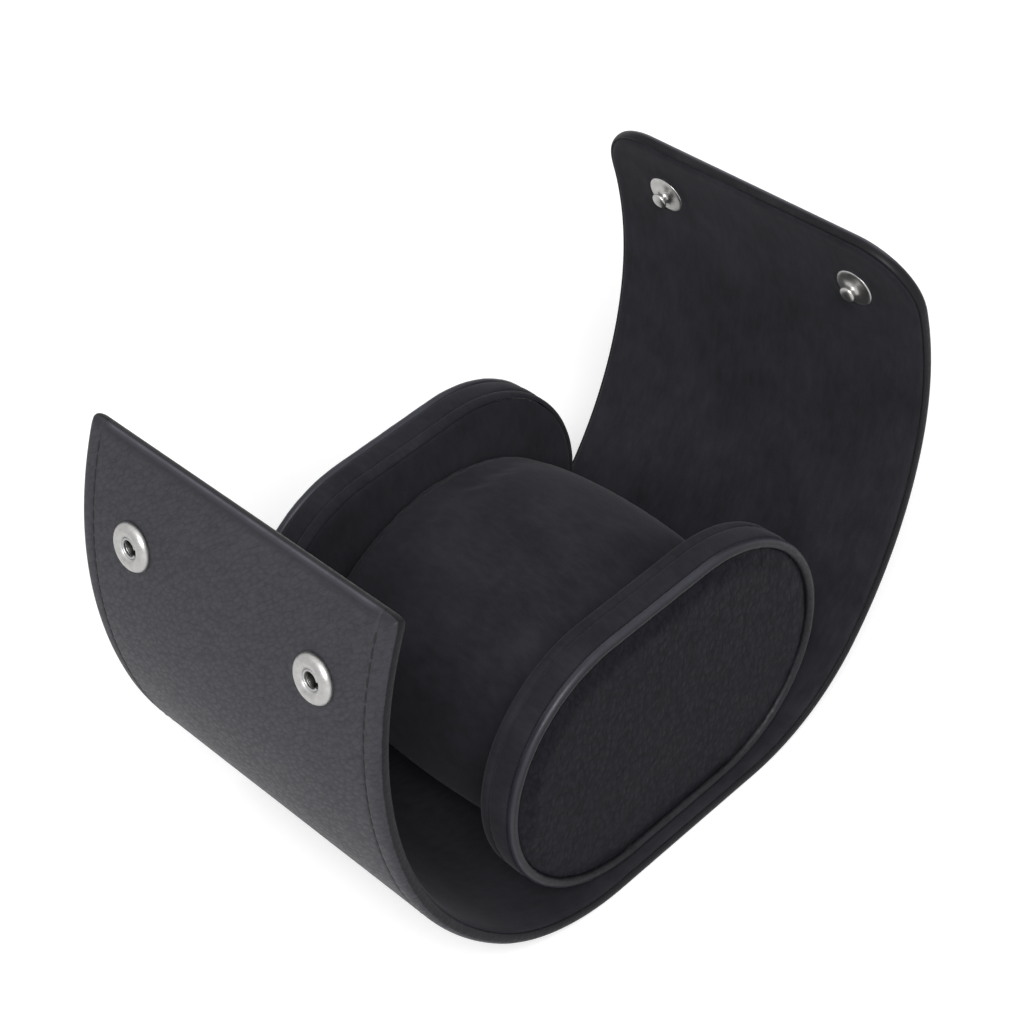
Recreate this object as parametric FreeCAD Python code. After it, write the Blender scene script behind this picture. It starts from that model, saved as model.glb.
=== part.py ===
import FreeCAD, Part
import math
import os
from FreeCAD import Placement, Rotation, Vector

# A travel roll for one bracelet or similar piece: a leather wrap that closes round two
# padded end panels and a lift-out pillow, and is held shut by two ring-spring snaps.
# Millimetres. X runs across the wrap, Y from the front flap to the back flap, Z up.
# The origin is the middle of the wrap's flat underside.

# Wrap: leather outside, stiffener in the middle, suede inside
roll_width = 85.0
leather_thickness = 1.2
stiffener_thickness = 1.3
suede_thickness = 0.9
turned_edge = 1.5               # leather folded up over the stiffener's edges
base_margin = 7.0               # flat base beyond the straight sides of the end panels
bend_clearance = 0.25           # between a panel's rounded end and the hollow it turns in

# Flap panels from the base to the free edge: length along mid thickness, bend radius
front_panels = {"lower": (36.0, 44.0), "middle": (37.5, 70.0), "top": (64.0, 91.0)}
back_panels = {"lower": (36.0, 44.0), "middle": (48.0, 93.0), "top": (47.5, 77.0)}
front_corner_radius = 2.5
back_corner_radius = 15.0

# Padded end panels
panel_length = 88.0
panel_height = 62.0
panel_thickness = 9.4
panel_setback = 2.5             # wrap edge to the panel's outer face
band_thickness = 1.0
panel_board_thickness = 2.0
piping_radius = 1.2
piping_gap = 0.05
face_crown = 0.5                # rise of the padded face over its own edge
face_shoulder = 6.0             # width over which the face rounds off

# Pillow
pillow_gap = 0.6                # to each end panel
pillow_seat = 0.3               # over the base lining
pillow_length = 72.0
pillow_height = 57.0
pillow_widest_level = 28.0      # height of its longest line over its underside
pillow_crown_tilt = 34.0        # slope in degrees where the crown meets the sides
pillow_draw_in = 2.6            # how much each end is drawn in, in length
pillow_drop = 3.4               # how much the crown drops at each end
pillow_cover_thickness = 1.0

# Snaps
snap_spacing = 51.6
front_snap_inset = 20.0         # from the front flap's free edge to the sockets
back_snap_inset = 15.0          # from the back flap's free edge to the studs
snap_radius = 5.0
snap_press = 0.15               # how far the snaps' inner flanges press into the lining
socket_height = 1.8
socket_edge = 0.6               # straight rim under the rounded shoulder
socket_shoulder = 1.3
socket_bore_radius = 2.1
socket_lip = 0.4
socket_groove_depth = 0.5
spring_wire_radius = 0.3
spring_clearance = 0.4          # between the spring and its groove
spring_opening = 40.0           # degrees left open in the split ring
eyelet_wall = 0.45
eyelet_flange_radius = 4.2
eyelet_flange_thickness = 0.5
stud_base_radius = 4.4
stud_base_thickness = 0.6
stud_neck_radius = 1.25
stud_neck_height = 1.85         # over the underside of the stud's base, as the next two levels
stud_head_radius = 1.8
stud_head_level = 2.25          # where the head's rim starts
stud_head_edge = 0.25
stud_height = 3.2
cap_height = 1.3
cap_edge = 0.4
cap_shank_radius = 1.3
snap_hole_clearance = 0.05

base_half_length = (panel_length - panel_height) / 2 + base_margin
socket_groove_radius = socket_bore_radius + socket_groove_depth
spring_radius = socket_groove_radius - spring_clearance - spring_wire_radius
wrap_thickness = leather_thickness + stiffener_thickness + suede_thickness
half_thickness = wrap_thickness / 2
stiffener_level = leather_thickness
suede_level = leather_thickness + stiffener_thickness
seat_level = wrap_thickness - snap_press
X_AXIS = Vector(1, 0, 0)
OVERCUT = 2.0                   # how far a cutting solid runs past what it cuts

parts = {}


class Panel:
    """One rigid length of a flap: an arc that starts on a bend line."""

    def __init__(self, side, start, heading, length, radius):
        self.side = side
        self.start = start
        self.heading = heading
        self.length = length
        self.radius = radius
        self.centre = start + self.inward(0) * radius

    def angle(self, along):
        return self.heading + along / self.radius

    def inward(self, along):
        turn = self.angle(along)
        return Vector(0, -self.side * math.sin(turn), math.cos(turn))

    def ahead(self, along):
        turn = self.angle(along)
        return Vector(0, self.side * math.cos(turn), math.sin(turn))

    def point(self, along, level):
        """A point at a distance along the panel and a level over its outer face."""
        return self.centre - self.inward(along) * (self.radius + half_thickness - level)


def flap(side, sizes):
    """The flap's panels, laid end to end from the base without a kink."""
    start = Vector(0, side * base_half_length, half_thickness)
    heading = 0.0
    panels = {}
    for name, (length, radius) in sizes.items():
        panel = Panel(side, start, heading, length, radius)
        panels[name] = panel
        start = panel.point(length, half_thickness)
        heading = panel.angle(length)
    return panels


def across(face, width):
    """Extrude a face drawn in the YZ plane over a width centred on X = 0."""
    face.translate(Vector(-width / 2, 0, 0))
    return face.extrude(Vector(width, 0, 0))


def bend_cylinder(axis_point, radius):
    width = roll_width + 2 * OVERCUT
    return Part.makeCylinder(radius, width, axis_point - X_AXIS * (width / 2), X_AXIS)


def arc_strip(panel, begin, end, low, high, width):
    """The panel's solid between two distances along it and two levels."""
    middle = (begin + end) / 2
    edges = [
        Part.Arc(panel.point(begin, low), panel.point(middle, low), panel.point(end, low)).toShape(),
        Part.makeLine(panel.point(end, low), panel.point(end, high)),
        Part.Arc(panel.point(end, high), panel.point(middle, high), panel.point(begin, high)).toShape(),
        Part.makeLine(panel.point(begin, high), panel.point(begin, low)),
    ]
    return across(Part.Face(Part.Wire(edges)), width)


def start_block(panel, low, high, width):
    """A straight block that carries a layer back over the bend line."""
    back = panel.ahead(0) * -wrap_thickness
    corners = [panel.point(0, low), panel.point(0, high)]
    corners += [corners[1] + back, corners[0] + back, corners[0]]
    return across(Part.Face(Part.makePolygon(corners)), width)


def corner_cut(panel, end, half_width, radius, sign):
    """What a rounded corner takes off at the panel's free end."""
    inward = panel.inward(end)
    ahead = panel.ahead(end)
    reach = 4 * wrap_thickness
    origin = panel.point(end, half_thickness) - inward * reach

    def place(x, back):
        return origin + X_AXIS * (sign * x) - ahead * back

    middle = radius * (1 - math.cos(math.radians(45)))
    edges = [
        Part.makeLine(place(half_width + OVERCUT, -OVERCUT), place(half_width - radius, -OVERCUT)),
        Part.makeLine(place(half_width - radius, -OVERCUT), place(half_width - radius, 0)),
        Part.Arc(
            place(half_width - radius, 0),
            place(half_width - middle, middle),
            place(half_width, radius),
        ).toShape(),
        Part.makeLine(place(half_width, radius), place(half_width + OVERCUT, radius)),
        Part.makeLine(place(half_width + OVERCUT, radius), place(half_width + OVERCUT, -OVERCUT)),
    ]
    return Part.Face(Part.Wire(edges)).extrude(inward * (2 * reach))


def rounded(solid, panel, end, width, radius):
    for sign in (-1, 1):
        solid = solid.cut(corner_cut(panel, end, width / 2, radius, sign))
    return solid


def panel_layers(panel, corner_radius):
    """Leather, stiffener and lining of one panel. A corner radius marks a free end."""
    free_end = corner_radius is not None
    inner_width = roll_width - 2 * turned_edge
    inner_end = panel.length - (turned_edge if free_end else 0)
    knuckle = bend_cylinder(panel.start, half_thickness)

    def layer(low, high, width, end, radius):
        solid = arc_strip(panel, 0, end, low, high, width)
        if free_end:
            solid = rounded(solid, panel, end, width, radius)
        solid = solid.fuse(start_block(panel, low, high, width).common(knuckle))
        return solid.removeSplitter()

    inner_radius = corner_radius - turned_edge if free_end else None
    pocket_top = wrap_thickness + OVERCUT
    pocket = arc_strip(panel, 0, inner_end, stiffener_level, pocket_top, inner_width)
    if free_end:
        pocket = rounded(pocket, panel, inner_end, inner_width, inner_radius)
    pocket = pocket.fuse(start_block(panel, stiffener_level, pocket_top, inner_width))
    layers = {
        "leather": layer(0, wrap_thickness, roll_width, panel.length, corner_radius).cut(pocket),
        "stiffener": layer(stiffener_level, suede_level, inner_width, inner_end, inner_radius),
        "lining": layer(suede_level, wrap_thickness, inner_width, inner_end, inner_radius),
    }
    if not free_end:
        hollow_centre = panel.point(panel.length, half_thickness)
        hollow = bend_cylinder(hollow_centre, half_thickness + bend_clearance)
        layers = {name: solid.cut(hollow) for name, solid in layers.items()}
    return layers


def base_layers():
    """The flat base, hollowed at both ends for the lower panels' rounded ends."""
    inner_width = roll_width - 2 * turned_edge
    length = 2 * base_half_length

    def slab(low, high, width):
        return Part.makeBox(width, length, high - low, Vector(-width / 2, -base_half_length, low))

    outside = slab(0, wrap_thickness, roll_width)
    layers = {
        "leather": outside.cut(slab(stiffener_level, wrap_thickness + OVERCUT, inner_width)),
        "stiffener": slab(stiffener_level, suede_level, inner_width),
        "lining": slab(suede_level, wrap_thickness, inner_width),
    }
    for side in (-1, 1):
        axis_point = Vector(0, side * base_half_length, half_thickness)
        hollow = bend_cylinder(axis_point, half_thickness + bend_clearance)
        layers = {name: solid.cut(hollow) for name, solid in layers.items()}
    return layers


def turned(profile, placement, sweep=360.0):
    """Turn a radius and height profile about its own Z axis, then place it."""
    face = Part.Face(Part.Wire(profile))
    solid = face.revolve(Vector(0, 0, 0), Vector(0, 0, 1), sweep)
    solid.Placement = placement
    return solid


def outline(points):
    """Straight edges through radius and height pairs."""
    corners = [Vector(radius, 0, height) for radius, height in points]
    return [Part.makeLine(first, last) for first, last in zip(corners, corners[1:])]


def arc_edge(first, middle, last):
    ends = [Vector(radius, 0, height) for radius, height in (first, middle, last)]
    return Part.Arc(*ends).toShape()


def snap_places(panel, inset, level, outward):
    """The two snap positions on a flap, with Z of each pointing off the chosen face."""
    along = panel.length - inset
    normal = panel.inward(along) * (-1 if outward else 1)
    turn = Rotation(Vector(0, 0, 1), normal)
    centre = panel.point(along, level)
    return [Placement(centre + X_AXIS * (sign * snap_spacing / 2), turn) for sign in (-1, 1)]


def socket_ring(place):
    """Domed ring with a lipped bore and a groove for the spring."""
    crest = snap_radius - socket_shoulder
    rise = socket_height - socket_edge
    slant = math.sqrt(0.5)
    shoulder = (crest + socket_shoulder * slant, socket_edge + rise * slant)
    profile = [arc_edge((snap_radius, socket_edge), shoulder, (crest, socket_height))]
    profile += outline([
        (crest, socket_height),
        (socket_bore_radius, socket_height),
        (socket_bore_radius, socket_height - socket_lip),
        (socket_groove_radius, socket_height - socket_lip),
        (socket_groove_radius, socket_lip),
        (socket_bore_radius, socket_lip),
        (socket_bore_radius, 0),
        (snap_radius, 0),
        (snap_radius, socket_edge),
    ])
    return turned(profile, place)


def socket_spring(place):
    """Split wire ring that grips under the stud's head."""
    centre = Vector(spring_radius, 0, socket_height - socket_lip - spring_wire_radius - snap_hole_clearance)
    wire = Part.makeCircle(spring_wire_radius, centre, Vector(0, 1, 0))
    return turned([wire], place, 360.0 - spring_opening)


def socket_eyelet(place):
    """Barrel through the flap with its flange on the lining."""
    outer = socket_bore_radius + eyelet_wall
    profile = outline([
        (socket_bore_radius, 0),
        (outer, 0),
        (outer, -seat_level),
        (eyelet_flange_radius, -seat_level),
        (eyelet_flange_radius, -seat_level - eyelet_flange_thickness),
        (socket_bore_radius, -seat_level - eyelet_flange_thickness),
        (socket_bore_radius, 0),
    ])
    return turned(profile, place)


def stud_post(place):
    """Stud: a flat base, a neck and a low domed head."""
    rim = stud_head_level + stud_head_edge
    profile = outline([
        (0, 0),
        (stud_base_radius, 0),
        (stud_base_radius, stud_base_thickness),
        (stud_neck_radius, stud_base_thickness),
        (stud_neck_radius, stud_neck_height),
        (stud_head_radius, stud_head_level),
        (stud_head_radius, rim),
    ])
    profile.append(dome_edge(stud_head_radius, rim, stud_height))
    profile += outline([(0, stud_height), (0, 0)])
    return turned(profile, place)


def dome_edge(radius, level, top):
    """Round edge of a dome's section, from its rim to its top."""
    rise = top - level
    dome_radius = (radius ** 2 + rise ** 2) / (2 * rise)
    half_turn = math.asin(radius / dome_radius) / 2
    crown = (dome_radius * math.sin(half_turn), top - dome_radius * (1 - math.cos(half_turn)))
    return arc_edge((radius, level), crown, (0, top))


def stud_cap(place):
    """Domed cap outside the flap, with a shank that reaches the stud's base."""
    profile = [dome_edge(snap_radius, cap_edge, cap_height)]
    profile += outline([
        (0, cap_height),
        (0, -seat_level),
        (cap_shank_radius, -seat_level),
        (cap_shank_radius, 0),
        (snap_radius, 0),
        (snap_radius, cap_edge),
    ])
    return turned(profile, place)


def drilled(layers, places, radius, seat_radius):
    """Cut the snap holes through every layer, and the flat seats pressed into the lining."""
    for place in places:
        axis = place.Rotation.multVec(Vector(0, 0, 1))
        begin = place.Base - axis * (2 * wrap_thickness)
        seat = place.Base - axis * seat_level
        cuts = [
            Part.makeCylinder(radius, 4 * wrap_thickness, begin, axis),
            Part.makeCylinder(seat_radius, OVERCUT, seat, axis * -1),
        ]
        layers = {name: solid.cut(cuts) for name, solid in layers.items()}
    return layers


def stadium(x, inset):
    """End panel outline at a station on X, inset all round, from lines and quarter arcs."""
    radius = panel_height / 2 - inset
    half_straight = (panel_length - panel_height) / 2
    level = wrap_thickness + panel_height / 2
    diagonal = radius * math.sqrt(0.5)

    def at(y, z):
        return Vector(x, y, level + z)

    edges = [Part.makeLine(at(-half_straight, -radius), at(half_straight, -radius))]
    for sign in (1, -1):
        y = sign * half_straight
        reach = y + sign * radius
        slant = y + sign * diagonal
        edges.append(Part.Arc(at(y, -sign * radius), at(slant, -sign * diagonal), at(reach, 0)).toShape())
        edges.append(Part.Arc(at(reach, 0), at(slant, sign * diagonal), at(y, sign * radius)).toShape())
        if sign == 1:
            edges.append(Part.makeLine(at(half_straight, radius), at(-half_straight, radius)))
    return Part.Wire(edges)


def plate(sign, near, far, inset):
    """Flat stadium plate between two distances from the middle, on one side."""
    return Part.Face(stadium(sign * near, inset)).extrude(Vector(sign * (far - near), 0, 0))


def end_panel(sign):
    """Pieces of one padded end panel, from its inner lining to its leather face."""
    outer = roll_width / 2 - panel_setback
    inner = outer - panel_thickness
    board_face = outer - 2 * piping_radius
    foam_face = board_face - panel_board_thickness
    lining_face = inner + suede_thickness
    band = plate(sign, inner, board_face, 0).cut(plate(sign, inner, board_face, band_thickness))

    face_edge = 2 * piping_radius + piping_gap
    shoulder = outer - face_crown
    sections = [
        (board_face, face_edge),
        (shoulder, face_edge),
        (outer, face_edge + face_shoulder),
    ]
    face = Part.makeLoft([stadium(sign * x, inset) for x, inset in sections], True, True)

    path = stadium(sign * (outer - piping_radius), piping_radius)
    first = path.Edges[0]
    start = first.valueAt(first.FirstParameter)
    section = Part.Wire(Part.makeCircle(piping_radius, start, first.tangentAt(first.FirstParameter)))
    piping = path.makePipeShell([section], True, False)
    return {
        "lining": plate(sign, inner, lining_face, band_thickness),
        "foam": plate(sign, lining_face, foam_face, band_thickness),
        "board": plate(sign, foam_face, board_face, band_thickness),
        "band": band,
        "piping": piping,
        "face": face,
    }


def pillow_section(x, length, height, inset):
    """Closed pillow outline: flat underside, round sides and a crowned top."""
    half = length / 2 - inset
    level = pillow_widest_level - inset
    bottom = wrap_thickness + pillow_seat + inset
    rise = height - pillow_widest_level - inset
    tilt = math.radians(pillow_crown_tilt)
    side_share = 1 / math.tan((math.pi / 2 - tilt) / 2)
    crown_share = math.tan(tilt / 2)
    shoulder = (side_share * half - rise) / (side_share - crown_share)
    side_radius = (half - shoulder) / (1 - math.sin(tilt))
    widest = bottom + level
    shoulder_height = widest + side_radius * math.cos(tilt)
    half_turn = (math.pi / 2 - tilt) / 2
    flat = half - level

    def at(y, z):
        return Vector(x, y, z)

    def side_edges(sign):
        low_middle = at(
            sign * (flat + level * math.sin(math.pi / 4)),
            widest - level * math.cos(math.pi / 4),
        )
        high_middle = at(
            sign * (half - side_radius * (1 - math.cos(half_turn))),
            widest + side_radius * math.sin(half_turn),
        )
        low = Part.Arc(at(sign * flat, bottom), low_middle, at(sign * half, widest))
        high = Part.Arc(at(sign * half, widest), high_middle, at(sign * shoulder, shoulder_height))
        return [low.toShape(), high.toShape()]

    crown = Part.Arc(at(shoulder, shoulder_height), at(0, widest + rise), at(-shoulder, shoulder_height))
    edges = [Part.makeLine(at(-flat, bottom), at(flat, bottom))]
    edges += side_edges(1) + [crown.toShape()] + list(reversed(side_edges(-1)))
    return Part.Wire(Part.__sortEdges__(edges))


def pillow_form(half_width, inset):
    """Loft through five outlines: full in the middle, drawn in towards both ends."""
    sections = []
    for share in (-1, -0.6, 0, 0.6, 1):
        draw = share ** 2
        length = pillow_length - 2 * pillow_draw_in * draw
        height = pillow_height - pillow_drop * draw
        sections.append(pillow_section(share * half_width, length, height, inset))
    return Part.makeLoft(sections, True, False)


def pillow():
    """Foam core, the cover sewn round it and the cover's two end pieces."""
    half_width = roll_width / 2 - panel_setback - panel_thickness - pillow_gap
    core_half = half_width - pillow_cover_thickness
    outside = pillow_form(core_half, 0)
    core = pillow_form(core_half, pillow_cover_thickness)
    end_length = pillow_length - 2 * pillow_draw_in
    end_height = pillow_height - pillow_drop
    pieces = {"foam": core, "cover": outside.cut(core)}
    for name, sign in (("left_end", -1), ("right_end", 1)):
        wire = pillow_section(sign * core_half, end_length, end_height, 0)
        pieces[name] = Part.Face(wire).extrude(Vector(sign * pillow_cover_thickness, 0, 0))
    return pieces


def add(prefix, pieces):
    for name, solid in pieces.items():
        parts[prefix + "_" + name] = solid


def build():
    add("base", base_layers())
    front = flap(-1, front_panels)
    back = flap(1, back_panels)
    sockets = snap_places(front["top"], front_snap_inset, 0, True)
    studs = snap_places(back["top"], back_snap_inset, seat_level, False)
    caps = snap_places(back["top"], back_snap_inset, 0, True)
    barrel_radius = socket_bore_radius + eyelet_wall
    flaps = (
        ("front", front, front_corner_radius, sockets, barrel_radius, eyelet_flange_radius),
        ("back", back, back_corner_radius, caps, cap_shank_radius, stud_base_radius),
    )
    for side, panels, corner, places, hole, seat in flaps:
        for name, panel in panels.items():
            free_end = name == "top"
            layers = panel_layers(panel, corner if free_end else None)
            if free_end:
                layers = drilled(layers, places, hole + snap_hole_clearance, seat + snap_hole_clearance)
            add(side + "_" + name, layers)
            print("bend line", side, name, round(panel.start.y, 4), round(panel.start.z, 4))
        edge = panels["top"].point(panels["top"].length, half_thickness)
        print("free edge", side, round(edge.y, 2), round(edge.z, 2))

    for name, sign in (("left_panel", -1), ("right_panel", 1)):
        add(name, end_panel(sign))
    add("pillow", pillow())
    parts["socket_rings"] = Part.makeCompound([socket_ring(place) for place in sockets])
    parts["socket_springs"] = Part.makeCompound([socket_spring(place) for place in sockets])
    parts["socket_eyelets"] = Part.makeCompound([socket_eyelet(place) for place in sockets])
    parts["stud_posts"] = Part.makeCompound([stud_post(place) for place in studs])
    parts["stud_caps"] = Part.makeCompound([stud_cap(place) for place in caps])


build()
os.makedirs("parts", exist_ok=True)
for node, shape in parts.items():
    if not shape.isValid():
        print("not valid:", node)
    shape.exportStep("parts/" + node + ".step")
print(len(parts), "nodes,", sum(len(shape.Solids) for shape in parts.values()), "solids")
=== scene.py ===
import math

import bmesh
import bpy
import numpy as np
from mathutils import Matrix, Vector


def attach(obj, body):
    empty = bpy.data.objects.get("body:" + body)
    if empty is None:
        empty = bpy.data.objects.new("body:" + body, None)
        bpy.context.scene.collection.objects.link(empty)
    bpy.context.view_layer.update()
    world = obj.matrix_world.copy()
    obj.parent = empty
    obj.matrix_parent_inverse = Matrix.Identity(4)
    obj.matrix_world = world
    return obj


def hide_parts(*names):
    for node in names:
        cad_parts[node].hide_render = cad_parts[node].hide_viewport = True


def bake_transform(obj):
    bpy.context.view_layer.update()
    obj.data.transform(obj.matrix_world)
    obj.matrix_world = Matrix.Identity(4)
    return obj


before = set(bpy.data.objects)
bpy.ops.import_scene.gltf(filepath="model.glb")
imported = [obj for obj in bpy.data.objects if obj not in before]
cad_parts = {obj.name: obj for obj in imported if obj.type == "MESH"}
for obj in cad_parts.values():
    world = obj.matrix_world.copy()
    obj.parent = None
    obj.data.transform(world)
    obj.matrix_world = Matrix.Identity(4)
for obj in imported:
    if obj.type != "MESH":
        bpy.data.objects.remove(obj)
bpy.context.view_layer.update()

# Looks of a travel roll: a leather wrap with two snaps, two padded end panels and a pillow.
# Lengths below are in millimetres in the shared frame; meshes are written in metres.

scene = bpy.context.scene
MM = 0.001

# Wrap
HALF_WIDTH = 42.5
THICKNESS = 3.4
BASE_HALF = 20.0
FRONT_PANELS = (("lower", 36.0, 44.0), ("middle", 37.5, 70.0), ("top", 64.0, 91.0))
BACK_PANELS = (("lower", 36.0, 44.0), ("middle", 48.0, 93.0), ("top", 47.5, 77.0))
FRONT_CORNER = 2.5
BACK_CORNER = 15.0
BEND_REACH = (10.0, 14.0, 16.0)     # distance on either side of each joint at which flap.along is taken
GRID_STEP = 1.25
EDGE_ZONE = 2.5                     # width in which the layers round off at the wrap's edge
END_RIM_FADE = 12.0                 # length round a corner over which a free end's fuller rim, wear with a painted highlight, fades
SIDE_RIM_SHARE = 0.2                     # rim lightening of the long edges as a share of a free end's; the ends' fuller rim is a painted highlight
STITCH_INSET = 4.0
STITCH_PITCH = 2.9
STITCH_GROOVE, GROOVE_WIDTH = 0.24, 0.3
STITCH_END = 2.2                    # distance of the last stitch from a square end
LEATHER_RIPPLE = 0.05
LINING_SAG = 0.07
DARKENED_FROM, DARKEN_FADE = 0.85, 0.4     # the turned edge is darkened from this level inwards: edge dye and painted shade

# Snaps
SNAP_X = 25.8
FRONT_SNAP_INSET = 20.0
BACK_SNAP_INSET = 15.0
SEAT_LEVEL = 3.25
SNAP_ZONE, SNAP_STEP = 6.6, 0.6     # reach and step of the finer grid round a snap
LEATHER_LIFT, LINING_LIFT, LIFT_WIDTH = 0.2, 0.22, 0.75     # the roll pushed up round a snap
EYELET_BORE, BORE_FADE = 2.35, 0.15
SPRING_RADIUS, SPRING_WIRE, SPRING_LEVEL = 1.9, 0.3, 1.05

# End panels
PANEL_RADIUS = 31.0
PANEL_HALF_STRAIGHT = 13.0
PANEL_LEVEL = 34.4
PANEL_STRAIGHT_STEPS, PANEL_ARC_STEPS = 22, 66
FACE_HELD = 38.5                    # the face's leather is held below this x
RIM_FROM, RIM_FADE = 38.9, 0.8      # the face grows calm from this x towards its rim

# Pillow
PILLOW_BOTTOM = 3.7
PILLOW_TOP = 60.9
PILLOW_HALF = 36.1
PILLOW_END = 29.9                   # the end panels' linings start at 30.6
PILLOW_SEAM = 26.4
PILLOW_REST = 4.6                   # the cover lies still below this level
PILLOW_MIDDLE = 32.0                # level towards which the end seams draw in
SEAM_DRAW, SEAM_GATHER, SEAM_WIDTH = 0.3, 0.12, 0.55
SECTION_HALF, SECTION_LOW, SECTION_HEIGHT = 36.0, 28.0, 57.0
SECTION_TILT = math.radians(34.0)   # where the side's arc meets the crown's
SIDE_DRAW, CROWN_DRAW = 2.6, 3.4    # how far the section shrinks at the pillow's ends

# Padded covers are simulated ten times larger, at the size of a seat cushion
SIM_SCALE = 10.0
SIM_FRAMES = 20


# Meshes


def piece(name, points, faces, materials, slot, grain, shades=None, **marks):
    """A mesh piece from points in millimetres. grain keeps surface coordinates for its material."""
    mesh = bpy.data.meshes.new(name)
    mesh.from_pydata((np.asarray(points, float) * MM).tolist(), [], faces)
    mesh.attributes.new("grain", "FLOAT_VECTOR", "POINT").data.foreach_set(
        "vector", np.asarray(grain, np.float32).ravel()
    )
    for mark, values in marks.items():
        mesh.attributes.new(mark, "FLOAT", "POINT").data.foreach_set(
            "value", np.asarray(values, np.float32)
        )
    for material in materials:
        mesh.materials.append(material)
    if shades is not None:
        mesh.polygons.foreach_set("material_index", shades)
    made = bmesh.new()
    made.from_mesh(mesh)
    bmesh.ops.remove_doubles(made, verts=made.verts, dist=0.002 * MM)
    open_edges = [edge for edge in made.edges if edge.is_boundary]
    bmesh.ops.holes_fill(made, edges=open_edges, sides=0)
    bmesh.ops.recalc_face_normals(made, faces=made.faces)
    made.to_mesh(mesh)
    made.free()
    mesh.shade_smooth()
    mesh.set_sharp_from_angle(angle=math.radians(50))
    obj = bpy.data.objects.new(name, mesh)
    scene.collection.objects.link(obj)
    return obj


def join_shells(shells):
    """Points and faces of several shells as one list."""
    points, faces, count = [], [], 0
    for shell_points, shell_faces in shells:
        points.append(np.asarray(shell_points, float))
        faces += [[index + count for index in face] for face in shell_faces]
        count += len(shell_points)
    return np.concatenate(points), faces


def bridge(rings, closed_ring=True, closed_path=False):
    """Faces between rows of vertex numbers."""
    faces = []
    pairs = list(zip(rings, rings[1:]))
    if closed_path:
        pairs.append((rings[-1], rings[0]))
    for first, last in pairs:
        span = range(len(first)) if closed_ring else range(len(first) - 1)
        for i in span:
            j = (i + 1) % len(first)
            corners = list(dict.fromkeys([first[i], first[j], last[j], last[i]]))
            if len(corners) > 2:
                faces.append(corners)
    return faces


def row_numbers(rows):
    """Vertex numbers of equally long rows, one after the other."""
    width = len(rows[0])
    return [list(range(k * width, (k + 1) * width)) for k in range(len(rows))]


def inflate(points, faces, voxel, smoothing, pressure, cap, pinned):
    """Swell a closed form as cloth under pressure, and return the swollen form.

    pinned tells from points which ones hold still, and cap is how far a point may move."""
    scale = MM * SIM_SCALE
    mesh = bpy.data.meshes.new("form")
    mesh.from_pydata((np.asarray(points) * scale).tolist(), [], faces)
    form = bpy.data.objects.new("form", mesh)
    scene.collection.objects.link(form)
    remesh = form.modifiers.new("remesh", "REMESH")
    remesh.mode = "VOXEL"
    remesh.voxel_size = voxel * scale
    smooth = form.modifiers.new("smooth", "SMOOTH")
    smooth.factor = 0.5
    smooth.iterations = smoothing
    form.data = evaluated_copy(form)
    form.modifiers.clear()
    rest = coordinates(form.data) / scale
    moved = simulate(form, pressure, pinned(rest)) / scale - rest
    length = np.linalg.norm(moved, axis=1)
    moved *= (np.minimum(length, cap) / np.maximum(length, 1e-9))[:, None]
    form.data.vertices.foreach_set("co", ((rest + moved) * scale).ravel())
    soften = form.modifiers.new("soften", "SMOOTH")
    soften.factor = 0.5
    soften.iterations = 3
    divide = form.modifiers.new("divide", "SUBSURF")
    divide.levels = 1
    final = evaluated_copy(form)
    swollen = coordinates(final) / scale
    swollen_faces = [list(polygon.vertices) for polygon in final.polygons]
    bpy.data.objects.remove(form)
    return swollen, swollen_faces


def simulate(form, pressure, pinned):
    """Run the cloth and return its last positions."""
    group = form.vertex_groups.new(name="pin")
    group.add(np.flatnonzero(pinned).tolist(), 1.0, "REPLACE")
    cloth = form.modifiers.new("cloth", "CLOTH")
    cloth.settings.use_pressure = True
    cloth.settings.uniform_pressure_force = pressure
    cloth.settings.effector_weights.gravity = 0
    cloth.settings.vertex_group_mass = "pin"
    cloth.point_cache.frame_start = 1
    cloth.point_cache.frame_end = SIM_FRAMES
    for number in range(1, SIM_FRAMES + 1):
        scene.frame_set(number)
    ended = coordinates(evaluated_copy(form))
    form.modifiers.clear()
    scene.frame_set(1)
    return ended


def evaluated_copy(obj):
    bpy.context.view_layer.update()
    return bpy.data.meshes.new_from_object(obj.evaluated_get(bpy.context.evaluated_depsgraph_get()))


def coordinates(mesh):
    flat = np.zeros(len(mesh.vertices) * 3)
    mesh.vertices.foreach_get("co", flat)
    return flat.reshape(-1, 3)


# Materials


def node(tree, kind, settings=None, **inputs):
    """A shader node. An input takes a value or another node's output socket."""
    made = tree.nodes.new("ShaderNode" + kind)
    for key, value in (settings or {}).items():
        setattr(made, key, value)
    for key, value in inputs.items():
        socket = made.inputs[int(key[1:]) if key[1:].isdigit() else key.replace("_", " ")]
        if isinstance(value, bpy.types.NodeSocket):
            tree.links.new(value, socket)
        else:
            socket.default_value = value
    return made


def start_material(name, on_cad=False):
    """A material, its shader and its surface coordinates in millimetres."""
    material = bpy.data.materials.new(name)
    material.use_nodes = True
    tree = material.node_tree
    shader = tree.nodes["Principled BSDF"]
    if on_cad:
        metres = node(tree, "TexCoord").outputs["Object"]
        place = node(tree, "VectorMath", {"operation": "SCALE"}, i0=metres, Scale=1 / MM).outputs[0]
    else:
        place = node(tree, "Attribute", {"attribute_name": "grain"}).outputs["Vector"]
    return material, tree, shader, place


def stretched(tree, place, factors):
    return node(tree, "VectorMath", {"operation": "MULTIPLY"}, i0=place, i1=factors).outputs[0]


def noise(tree, place, scale, detail=2.0, roughness=0.5):
    return node(
        tree, "TexNoise", Vector=place, Scale=scale, Detail=detail, Roughness=roughness
    ).outputs["Fac"]


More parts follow.
